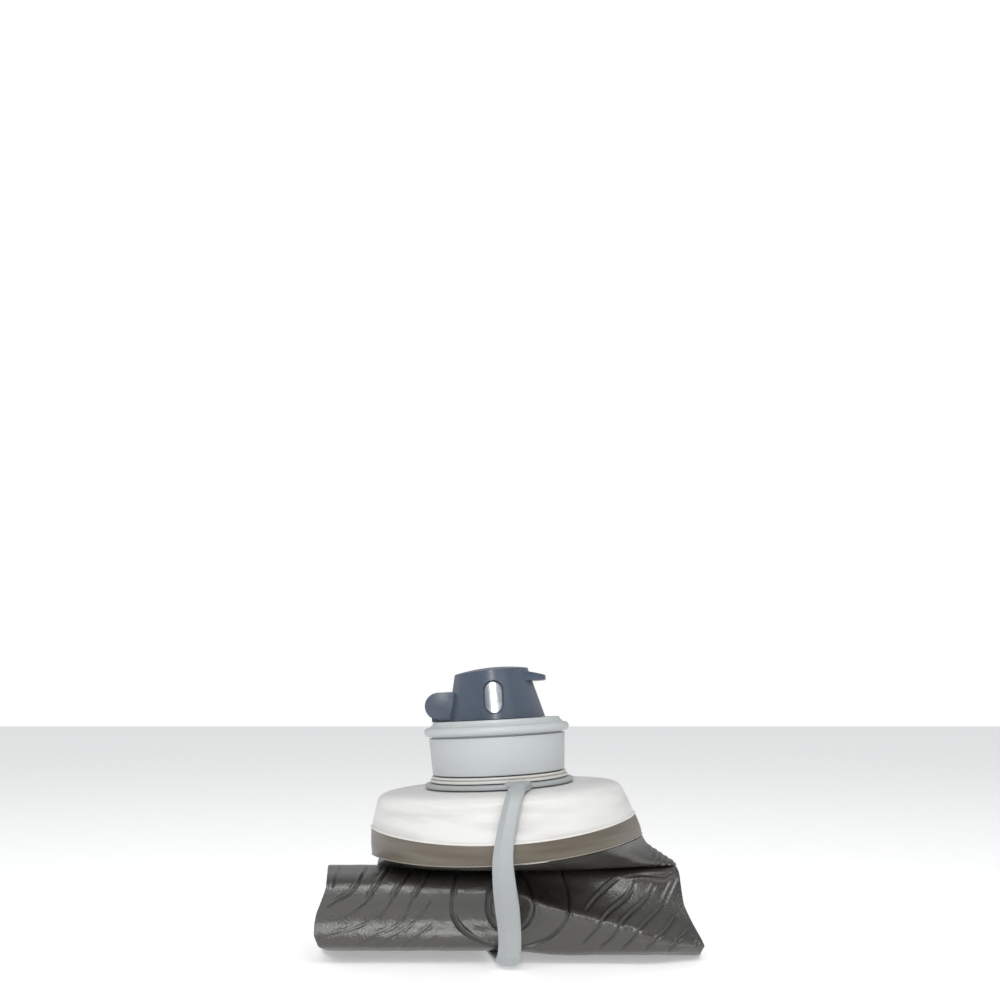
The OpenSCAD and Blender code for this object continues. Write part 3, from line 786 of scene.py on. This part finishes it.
fold, fold_ends = distance_to([(64.4, 27.6), (61.5, 26.3), (58.7, 25.2), (50.8, 25.6), (43.5, 24.6)])
fold_shape = 0.55 * np.exp(-(fold / 0.55) ** 2) - 0.4 * np.exp(-((fold + 1.3) / 0.7) ** 2)
relief += fold_shape * facing * fold_ends * smoothstep(42, 54, X)
relief *= smoothstep(0, END_FADE, share)[:, None] * smoothstep(1, 1 - END_FADE, share)[:, None]
roll = roll + normal * relief[..., None]
roll[..., 2] = np.maximum(roll[..., 2], 0.03)
real_x = roll[..., 0]
under_strap = smoothstep(-16, -13, real_x) * smoothstep(14, 11, real_x) * smoothstep(6.5, 3.6, roll[..., 2])
roll[..., 2] += under_strap * np.maximum(0, STRAP_TOP - roll[..., 2])


def end_rows(edge, out, dish, count=36):
    """Spiral end of the roll, from its edge row in to its core, dish mm deep."""
    centre = np.array([edge[:, 0].mean() - out * dish, CORE_Y, CORE_Z])
    rows = []
    angle = np.arctan2(edge[:, 2] - CORE_Z, edge[:, 1] - CORE_Y) / (2 * math.pi)
    for k in range(1, count):
        f = 1 - k / count
        r = centre + (edge - centre) * [1, f, f]
        base = centre[0] + (edge[:, 0] - centre[0]) * f ** 0.5
        ripple = np.abs(((k / count * SPIRAL_TURNS + angle) % 1) - 0.5) * 2
        inward = 1.1 * (ripple ** 3) + 0.5 * k / count
        r[:, 0] = base - out * inward * min(1, k / 3)
        rows.append(r)
    return rows


left_end = end_rows(roll[0], -1, 0.2)[::-1]
right_end = end_rows(roll[-1], 1, 4.0)
body = np.concatenate([np.array(left_end), roll, np.array(right_end)])
obj = Piece().grid(body, cap_low=True, cap_high=True).make("film_roll_look", 75)
# The groove lines are stored on the film for its painted shade, which darkens its colour along them.
groove_shade_marks = np.concatenate([np.zeros((len(left_end), NV)), groove, np.zeros((len(right_end), NV))])
groove_depth = obj.data.attributes.new("groove", "FLOAT", "POINT")
groove_depth.data.foreach_set("value", groove_shade_marks.ravel().astype(np.float32))
outward(obj)
dress(obj, "film_grey")
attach(obj, "roll")
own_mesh(obj)
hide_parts("film_roll")

# ---------------------------------------------------------------- bail
ring_corners = [(19.8, -0.9), (25.4, -0.9), (26.4, -0.7), (26.4, 0.5), (25.4, 0.8), (19.8, 0.8)]
ring_profile = fillet(ring_corners, [0.2, 0, 0.55, 0.55, 0, 0.2], 6)
bail = Piece().grid(turned(ring_profile, 200)[:, ::-1], wrap_m=True)

# Places on the middle of the strap, from its front root under the roll to its back root: x, y, z, width.
ROUTE = [
    (6.9, -26.8, 61.15, 6.2), (6.2, -31, 61.15, 5.6), (5.3, -36, 61, 5.4), (4.4, -40.4, 58.8, 5.4),
    (3, -43.2, 53.5, 5.5), (1.5, -44.9, 46, 5.8), (0.9, -44.6, 39.6, 6.4), (1.3, -41, 32, 7.2),
    (2.2, -34.6, 23.6, 7.8), (3, -29, 15.3, 7.6), (3.2, -26.6, 9, 7.5), (2.9, -24.8, 4.4, 7.7),
    (2.2, -20.8, 1.9, 7.7), (1.2, -15, 1.3, 7.7), (-2, -2, 1.3, 7.7), (-5.4, 11, 1.3, 7.7),
    (-6.8, 17.6, 1.9, 7.7), (-7, 21.8, 4.4, 7.7), (-7, 25.4, 10, 7.4), (-6.4, 29.8, 18, 7.1),
    (-5.4, 36.6, 27, 6.8), (-4.6, 42.5, 34.6, 6.5), (-4.2, 44.8, 41.6, 6.2), (-4.6, 44.6, 48.4, 5.8),
    (-5.5, 42.4, 55, 5.5), (-6.4, 38.8, 59.8, 5.4), (-7.7, 31, 60.5, 5.6), (-8.3, 26.65, 60.35, 6.2),
]
STRAP_T = 2.6
ROOT_WIDEN = 2.6
ROOT_LONG = 4.5
STRAP_SHAPE = [(-1, -1), (1, -1), (1, 0.55), (0.8, 1), (-0.35, 1), (-1, -0.1)]
STRAP_RADII = [0.35, 0.35, 0.5, 0.6, 0.45, 0.35]


def sweep(route, t, widen):
    """Strap cross-sections at places t on the route: flat on the inner side, the left edge bevelled."""
    p = catmull(route, t)
    p[:, 2] = np.maximum(p[:, 2], STRAP_T / 2)
    last = len(route) - 1
    line = catmull(route, np.clip(t + 0.05, 0, last)) - catmull(route, np.clip(t - 0.05, 0, last))
    line = line[:, :3]
    along = line / np.linalg.norm(line, axis=1)[:, None]
    side = np.array([1.0, 0, 0]) - along[:, :1] * along
    side /= np.linalg.norm(side, axis=1)[:, None]
    face = np.cross(along, side)
    length = np.concatenate([[0], np.cumsum(np.linalg.norm(np.diff(p[:, :3], axis=0), axis=1))])
    near = np.minimum(length, length[-1] - length)
    right = p[:, 3] / 2
    left = right + widen * np.clip(1 - near / ROOT_LONG, 0, 1) ** 2
    half = STRAP_T / 2
    rows = []
    for i in range(len(p)):
        outline = [((right[i] if a > 0 else left[i]) * a, b * half) for a, b in STRAP_SHAPE]
        o = fillet(outline, STRAP_RADII, 4)
        rows.append(p[i, :3] + o[:, :1] * side[i] + o[:, 1:] * face[i])
    return np.array(rows)


places = np.linspace(0, len(ROUTE) - 1, 260)
strap = Piece().grid(sweep(ROUTE, places, ROOT_WIDEN), cap_low=True, cap_high=True)
obj = outward(strap.make("bail_strap_look", 45))
dress(obj, "bail_grey")
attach(obj, "bail")
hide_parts("bail_strap")

# The strap's two roots go on for a short way into the ring.
STUB_ROWS = 10
for end, nxt in ((ROUTE[0], ROUTE[1]), (ROUTE[-1], ROUTE[-2])):
    d = np.array(nxt[:3]) - np.array(end[:3])
    d /= np.linalg.norm(d)
    stub = [tuple(np.array(end[:3]) - d * k) + (end[3],) for k in (2.4, 1.6, 0.8, 0.04)]
    if end is ROUTE[-1]:
        stub = stub[::-1]
    rows = sweep(stub, np.linspace(0, 3, STUB_ROWS), 0)
    extra = ROOT_WIDEN * np.linspace(1.6, 1.0, STUB_ROWS)[:: (1 if end is ROUTE[0] else -1)]
    left = (rows[..., 0] < end[0] - 1)[..., None]
    rows = rows - left * np.stack([extra, 0 * extra, 0 * extra], -1)[:, None, :]
    bail.grid(rows, cap_low=True, cap_high=True)
obj = outward(bail.make("bail_ring_look", 45))
dress(obj, "bail_grey")
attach(obj, "ring")
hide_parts("bail_ring")

# ---------------------------------------------------------------- light and camera
scene = bpy.context.scene
scene.view_settings.view_transform = "Standard"
scene.view_settings.look = "None"
world = bpy.data.worlds.new("studio")
scene.world = world
world.use_nodes = True
nt = world.node_tree
nt.nodes.clear()
out = nt.nodes.new("ShaderNodeOutputWorld")
place = nt.nodes.new("ShaderNodeTexCoord")
split = nt.nodes.new("ShaderNodeSeparateXYZ")
nt.links.new(place.outputs["Generated"], split.inputs["Vector"])


def world_ramp(source, a, b, high):
    """Smooth rise from 0 to high as the source goes from a to b."""
    m = nt.nodes.new("ShaderNodeMapRange")
    m.interpolation_type = "SMOOTHSTEP"
    m.inputs["From Min"].default_value = a
    m.inputs["From Max"].default_value = b
    m.inputs["To Min"].default_value = 0.0
    m.inputs["To Max"].default_value = high
    nt.links.new(source, m.inputs["Value"])
    return m.outputs["Result"]


def world_math(kind, a, b):
    m = nt.nodes.new("ShaderNodeMath")
    m.operation = kind
    for k, v in enumerate((a, b)):
        if isinstance(v, (int, float)):
            m.inputs[k].default_value = v
        else:
            nt.links.new(v, m.inputs[k])
    return m.outputs["Value"]


above = world_ramp(split.outputs["Z"], 0.2, 0.9, 0.3)
below = world_ramp(split.outputs["Z"], -0.1, -0.7, 0.15)
behind = world_ramp(split.outputs["Y"], 0.0, 0.8, 0.4)
beside = world_ramp(world_math("ABSOLUTE", split.outputs["X"], 0), 0.5, 0.95, 0.55)
strength = world_math("ADD", world_math("ADD", above, below), world_math("ADD", behind, beside))
strength = world_math("ADD", strength, 0.05)
shine = nt.nodes.new("ShaderNodeBackground")
nt.links.new(strength, shine.inputs["Strength"])
shine.inputs["Color"].default_value = (0.97, 0.985, 1.0, 1)
plain = nt.nodes.new("ShaderNodeBackground")
plain.inputs["Color"].default_value = (1, 1, 1, 1)
plain.inputs["Strength"].default_value = 1.0
path = nt.nodes.new("ShaderNodeLightPath")
choose = nt.nodes.new("ShaderNodeMixShader")
nt.links.new(path.outputs["Is Camera Ray"], choose.inputs["Fac"])
nt.links.new(shine.outputs["Background"], choose.inputs[1])
nt.links.new(plain.outputs["Background"], choose.inputs[2])
nt.links.new(choose.outputs["Shader"], out.inputs["Surface"])


def softbox(name, place, target, size, size_y, power):
    light = bpy.data.lights.new(name, "AREA")
    light.shape = "RECTANGLE"
    light.size, light.size_y = size, size_y
    light.energy = power
    obj = bpy.data.objects.new(name, light)
    scene.collection.objects.link(obj)
    obj.location = place
    obj.rotation_euler = (Vector(target) - Vector(place)).to_track_quat("-Z", "Y").to_euler()


softbox("front_strip", (-0.05, -0.8, 0.5), (0, 0, 0.085), 0.08, 0.6, 2.4)
softbox("top_box", (0.0, -0.5, 0.62), (0, 0, 0.04), 0.9, 0.22, 2.8)
softbox("low_fill", (0.0, -1.0, 0.2), (0, 0, 0.02), 0.9, 0.12, 0.7)

FLOOR, FLOOR_Z = 4000, -0.4
corner_signs = ((-1, -1), (1, -1), (1, 1), (-1, 1))
floor_corners = [(i * FLOOR, j * FLOOR, FLOOR_Z) for i, j in corner_signs]
floor = new_object("floor", floor_corners, [[0, 1, 2, 3]])
floor.data.materials.append(finish_of("floor_pale", srgb(250, 250, 250), 0.9, spec=0.1, bump=0))
glow = floor.active_material.node_tree.nodes["Principled BSDF"]
glow.inputs["Emission Color"].default_value = (1, 1, 1, 1)
glow.inputs["Emission Strength"].default_value = 0.32

camera = bpy.data.cameras.new("camera")
camera.lens = 30.17
camera.sensor_width = 36
camera.shift_y = 0.2095
camera.clip_start = 0.01
view = bpy.data.objects.new("camera", camera)
scene.collection.objects.link(view)
view.location = (0, -0.3, 0.086)
view.rotation_euler = (math.pi / 2, 0, 0)
scene.camera = view
